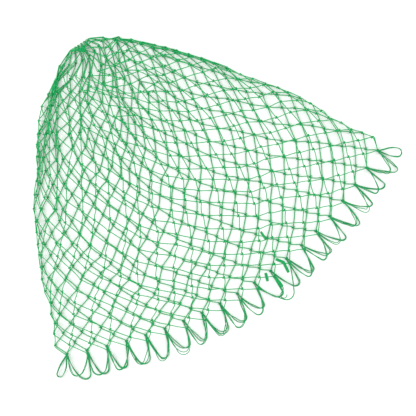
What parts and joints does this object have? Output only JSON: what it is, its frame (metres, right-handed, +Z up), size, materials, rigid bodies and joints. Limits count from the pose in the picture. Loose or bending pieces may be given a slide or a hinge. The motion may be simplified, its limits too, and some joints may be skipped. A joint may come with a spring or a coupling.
{
  "type": "knotted net bag",
  "caption": "Knotted green twine net bag for a hoop landing net, with a gathered crown and a mouth rimmed by hinged twine loops.",
  "frame": {"origin": "middle of the bag, on the surface it lies on", "axes": "+X along the mouth to the right corner, +Y towards the crown, +Z up"},
  "size_m": [0.6171, 0.4922, 0.029],
  "materials": {
    "net_twine": "twisted green twine with a slight sheen",
    "loop_twine": "doubled twisted green twine",
    "crown_cord": "green draw cord"
  },
  "bodies": {
    "netting": {"crown_ring": "crown_cord", "crown_knot": "crown_cord", "crown_strands": "net_twine", "netting_01": "net_twine", "netting_02": "net_twine", "netting_03": "net_twine", "netting_04": "net_twine", "netting_05": "net_twine", "netting_06": "net_twine", "netting_07": "net_twine", "netting_08": "net_twine", "netting_09": "net_twine", "netting_10": "net_twine", "netting_11": "net_twine", "netting_12": "net_twine", "mouth_knots": "net_twine", "joining_knot": "net_twine", "tail": "net_twine", "mending_knot": "net_twine"},
    "upper_loop_01": {"upper_loop_01": "loop_twine"},
    "upper_loop_02": {"upper_loop_02": "loop_twine"},
    "upper_loop_03": {"upper_loop_03": "loop_twine"},
    "upper_loop_04": {"upper_loop_04": "loop_twine"},
    "upper_loop_05": {"upper_loop_05": "loop_twine"},
    "upper_loop_06": {"upper_loop_06": "loop_twine"},
    "upper_loop_07": {"upper_loop_07": "loop_twine"},
    "upper_loop_08": {"upper_loop_08": "loop_twine"},
    "upper_loop_09": {"upper_loop_09": "loop_twine"},
    "upper_loop_10": {"upper_loop_10": "loop_twine"},
    "upper_loop_11": {"upper_loop_11": "loop_twine"},
    "upper_loop_12": {"upper_loop_12": "loop_twine"},
    "upper_loop_13": {"upper_loop_13": "loop_twine"},
    "upper_loop_14": {"upper_loop_14": "loop_twine"},
    "upper_loop_15": {"upper_loop_15": "loop_twine"},
    "upper_loop_16": {"upper_loop_16": "loop_twine"},
    "upper_loop_17": {"upper_loop_17": "loop_twine"},
    "lower_loop_01": {"lower_loop_01": "loop_twine"},
    "lower_loop_02": {"lower_loop_02": "loop_twine"},
    "lower_loop_03": {"lower_loop_03": "loop_twine"},
    "lower_loop_04": {"lower_loop_04": "loop_twine"},
    "lower_loop_05": {"lower_loop_05": "loop_twine"},
    "lower_loop_06": {"lower_loop_06": "loop_twine"},
    "lower_loop_07": {"lower_loop_07": "loop_twine"},
    "lower_loop_08": {"lower_loop_08": "loop_twine"},
    "lower_loop_09": {"lower_loop_09": "loop_twine"},
    "lower_loop_10": {"lower_loop_10": "loop_twine"},
    "lower_loop_11": {"lower_loop_11": "loop_twine"},
    "lower_loop_12": {"lower_loop_12": "loop_twine"},
    "lower_loop_13": {"lower_loop_13": "loop_twine"},
    "lower_loop_14": {"lower_loop_14": "loop_twine"},
    "lower_loop_15": {"lower_loop_15": "loop_twine"},
    "lower_loop_16": {"lower_loop_16": "loop_twine"},
    "lower_loop_17": {"lower_loop_17": "loop_twine"},
    "lower_loop_18": {"lower_loop_18": "loop_twine"},
    "lower_loop_19": {"lower_loop_19": "loop_twine"},
    "side_loop_left": {"side_loop_left": "loop_twine"},
    "side_loop_right": {"side_loop_right": "loop_twine"},
    "joining_strand": {"joining_strand": "loop_twine"}
  },
  "joints": [
    {"name": "upper_loop_01_swing", "type": "hinge", "parent": "netting", "child": "upper_loop_01", "pos_m": [-0.26548, -0.14196, 0.01263], "axis": [-0.8813, 0.4536, -0.1327], "range_deg": [0, 125]},
    {"name": "upper_loop_02_swing", "type": "hinge", "parent": "netting", "child": "upper_loop_02", "pos_m": [-0.23724, -0.1557, 0.01619], "axis": [-0.905, 0.4154, -0.092], "range_deg": [0, 125]},
    {"name": "upper_loop_03_swing", "type": "hinge", "parent": "netting", "child": "upper_loop_03", "pos_m": [-0.2086, -0.16802, 0.01875], "axis": [-0.9255, 0.372, -0.0715], "range_deg": [0, 125]},
    {"name": "upper_loop_04_swing", "type": "hinge", "parent": "netting", "child": "upper_loop_04", "pos_m": [-0.17958, -0.17884, 0.02075], "axis": [-0.9441, 0.3248, -0.057], "range_deg": [0, 125]},
    {"name": "upper_loop_05_swing", "type": "hinge", "parent": "netting", "child": "upper_loop_05", "pos_m": [-0.15022, -0.18807, 0.02233], "axis": [-0.9607, 0.274, -0.0454], "range_deg": [0, 125]},
    {"name": "upper_loop_06_swing", "type": "hinge", "parent": "netting", "child": "upper_loop_06", "pos_m": [-0.12055, -0.19565, 0.02356], "axis": [-0.9748, 0.2203, -0.0353], "range_deg": [0, 125]},
    {"name": "upper_loop_07_swing", "type": "hinge", "parent": "netting", "child": "upper_loop_07", "pos_m": [-0.09064, -0.20152, 0.0245], "axis": [-0.9861, 0.1643, -0.0259], "range_deg": [0, 125]},
    {"name": "upper_loop_08_swing", "type": "hinge", "parent": "netting", "child": "upper_loop_08", "pos_m": [-0.06054, -0.20564, 0.02515], "axis": [-0.9942, 0.1066, -0.0171], "range_deg": [0, 125]},
    {"name": "upper_loop_09_swing", "type": "hinge", "parent": "netting", "child": "upper_loop_09", "pos_m": [-0.0303, -0.20799, 0.02554], "axis": [-0.9988, 0.0482, -0.0085], "range_deg": [0, 125]},
    {"name": "upper_loop_10_swing", "type": "hinge", "parent": "netting", "child": "upper_loop_10", "pos_m": [0, -0.20857, 0.02567], "axis": [-0.9999, -0.0102, 0], "range_deg": [0, 125]},
    {"name": "upper_loop_11_swing", "type": "hinge", "parent": "netting", "child": "upper_loop_11", "pos_m": [0.09064, -0.19988, 0.0245], "axis": [-0.9838, -0.1775, 0.0259], "range_deg": [0, 125]},
    {"name": "upper_loop_12_swing", "type": "hinge", "parent": "netting", "child": "upper_loop_12", "pos_m": [0.12055, -0.19367, 0.02356], "axis": [-0.9729, -0.2285, 0.0352], "range_deg": [0, 125]},
    {"name": "upper_loop_13_swing", "type": "hinge", "parent": "netting", "child": "upper_loop_13", "pos_m": [0.15022, -0.18592, 0.02233], "axis": [-0.9599, -0.2766, 0.0454], "range_deg": [0, 125]},
    {"name": "upper_loop_14_swing", "type": "hinge", "parent": "netting", "child": "upper_loop_14", "pos_m": [0.17958, -0.1767, 0.02075], "axis": [-0.9452, -0.3214, 0.0571], "range_deg": [0, 125]},
    {"name": "upper_loop_15_swing", "type": "hinge", "parent": "netting", "child": "upper_loop_15", "pos_m": [0.2086, -0.16611, 0.01875], "axis": [-0.9291, -0.3628, 0.0717], "range_deg": [0, 125]},
    {"name": "upper_loop_16_swing", "type": "hinge", "parent": "netting", "child": "upper_loop_16", "pos_m": [0.23724, -0.15422, 0.01619], "axis": [-0.9115, -0.4008, 0.0927], "range_deg": [0, 125]},
    {"name": "upper_loop_17_swing", "type": "hinge", "parent": "netting", "child": "upper_loop_17", "pos_m": [0.26548, -0.14113, 0.01263], "axis": [-0.8907, -0.4344, 0.1341], "range_deg": [0, 125]},
    {"name": "lower_loop_01_swing", "type": "hinge", "parent": "netting", "child": "lower_loop_01", "pos_m": [0.26548, -0.14039, 0.00265], "axis": [-0.9084, -0.4173, -0.0245], "range_deg": [0, 9]},
    {"name": "lower_loop_02_swing", "type": "hinge", "parent": "netting", "child": "lower_loop_02", "pos_m": [0.23724, -0.15261, 0.00209], "axis": [-0.9263, -0.3765, -0.0114], "range_deg": [0, 14]},
    {"name": "lower_loop_03_swing", "type": "hinge", "parent": "netting", "child": "lower_loop_03", "pos_m": [0.2086, -0.16349, 0.00185], "axis": [-0.9428, -0.3333, -0.0048], "range_deg": [0, 17]},
    {"name": "lower_loop_04_swing", "type": "hinge", "parent": "netting", "child": "lower_loop_04", "pos_m": [0.17958, -0.17297, 0.00175], "axis": [-0.9577, -0.2878, -0.0017], "range_deg": [0, 20]},
    {"name": "lower_loop_05_swing", "type": "hinge", "parent": "netting", "child": "lower_loop_05", "pos_m": [0.15022, -0.18102, 0.00171], "axis": [-0.9707, -0.2404, -0.0005], "range_deg": [0, 20]},
    {"name": "lower_loop_06_swing", "type": "hinge", "parent": "netting", "child": "lower_loop_06", "pos_m": [0.12055, -0.18758, 0.0017], "axis": [-0.9815, -0.1914, -0.0001], "range_deg": [0, 20]},
    {"name": "lower_loop_07_swing", "type": "hinge", "parent": "netting", "child": "lower_loop_07", "pos_m": [0.09064, -0.19263, 0.0017], "axis": [-0.99, -0.1414, 0], "range_deg": [0, 20]},
    {"name": "lower_loop_08_swing", "type": "hinge", "parent": "netting", "child": "lower_loop_08", "pos_m": [0.06054, -0.19615, 0.0017], "axis": [-0.9959, -0.0908, 0], "range_deg": [0, 20]},
    {"name": "lower_loop_09_swing", "type": "hinge", "parent": "netting", "child": "lower_loop_09", "pos_m": [0.0303, -0.19813, 0.0017], "axis": [-0.9992, -0.0401, 0], "range_deg": [0, 20]},
    {"name": "lower_loop_10_swing", "type": "hinge", "parent": "netting", "child": "lower_loop_10", "pos_m": [0, -0.19859, 0.0017], "axis": [-0.9999, 0.0102, 0], "range_deg": [0, 20]},
    {"name": "lower_loop_11_swing", "type": "hinge", "parent": "netting", "child": "lower_loop_11", "pos_m": [-0.0303, -0.19752, 0.0017], "axis": [-0.9982, 0.0597, 0], "range_deg": [0, 20]},
    {"name": "lower_loop_12_swing", "type": "hinge", "parent": "netting", "child": "lower_loop_12", "pos_m": [-0.06054, -0.19498, 0.0017], "axis": [-0.9942, 0.108, 0], "range_deg": [0, 20]},
    {"name": "lower_loop_13_swing", "type": "hinge", "parent": "netting", "child": "lower_loop_13", "pos_m": [-0.09064, -0.19099, 0.0017], "axis": [-0.988, 0.1548, 0], "range_deg": [0, 20]},
    {"name": "lower_loop_14_swing", "type": "hinge", "parent": "netting", "child": "lower_loop_14", "pos_m": [-0.12055, -0.1856, 0.0017], "axis": [-0.9798, 0.1998, 0.0001], "range_deg": [0, 20]},
    {"name": "lower_loop_15_swing", "type": "hinge", "parent": "netting", "child": "lower_loop_15", "pos_m": [-0.15022, -0.17886, 0.00171], "axis": [-0.97, 0.243, 0.0005], "range_deg": [0, 20]},
    {"name": "lower_loop_16_swing", "type": "hinge", "parent": "netting", "child": "lower_loop_16", "pos_m": [-0.17958, -0.17083, 0.00175], "axis": [-0.9588, 0.2842, 0.0017], "range_deg": [0, 20]},
    {"name": "lower_loop_17_swing", "type": "hinge", "parent": "netting", "child": "lower_loop_17", "pos_m": [-0.2086, -0.16157, 0.00185], "axis": [-0.9462, 0.3236, 0.0048], "range_deg": [0, 17]},
    {"name": "lower_loop_18_swing", "type": "hinge", "parent": "netting", "child": "lower_loop_18", "pos_m": [-0.23724, -0.15114, 0.00209], "axis": [-0.9325, 0.3611, 0.0115], "range_deg": [0, 14]},
    {"name": "lower_loop_19_swing", "type": "hinge", "parent": "netting", "child": "lower_loop_19", "pos_m": [-0.26548, -0.13957, 0.00265], "axis": [-0.9176, 0.3968, 0.0247], "range_deg": [0, 9]},
    {"name": "side_loop_left_swing", "type": "hinge", "parent": "netting", "child": "side_loop_left", "pos_m": [-0.27949, -0.13412, 0.00677], "axis": [0, 0.1626, -0.9867], "range_deg": [0, 60]},
    {"name": "side_loop_right_swing", "type": "hinge", "parent": "netting", "child": "side_loop_right", "pos_m": [0.27949, -0.13412, 0.00677], "axis": [0, -0.0447, 0.999], "range_deg": [0, 60]},
    {"name": "joining_strand_swing", "type": "hinge", "parent": "netting", "child": "joining_strand", "pos_m": [0.04539, -0.2055, 0.02528], "axis": [-0.9953, -0.0958, 0.0127], "range_deg": [0, 125]}
  ]
}
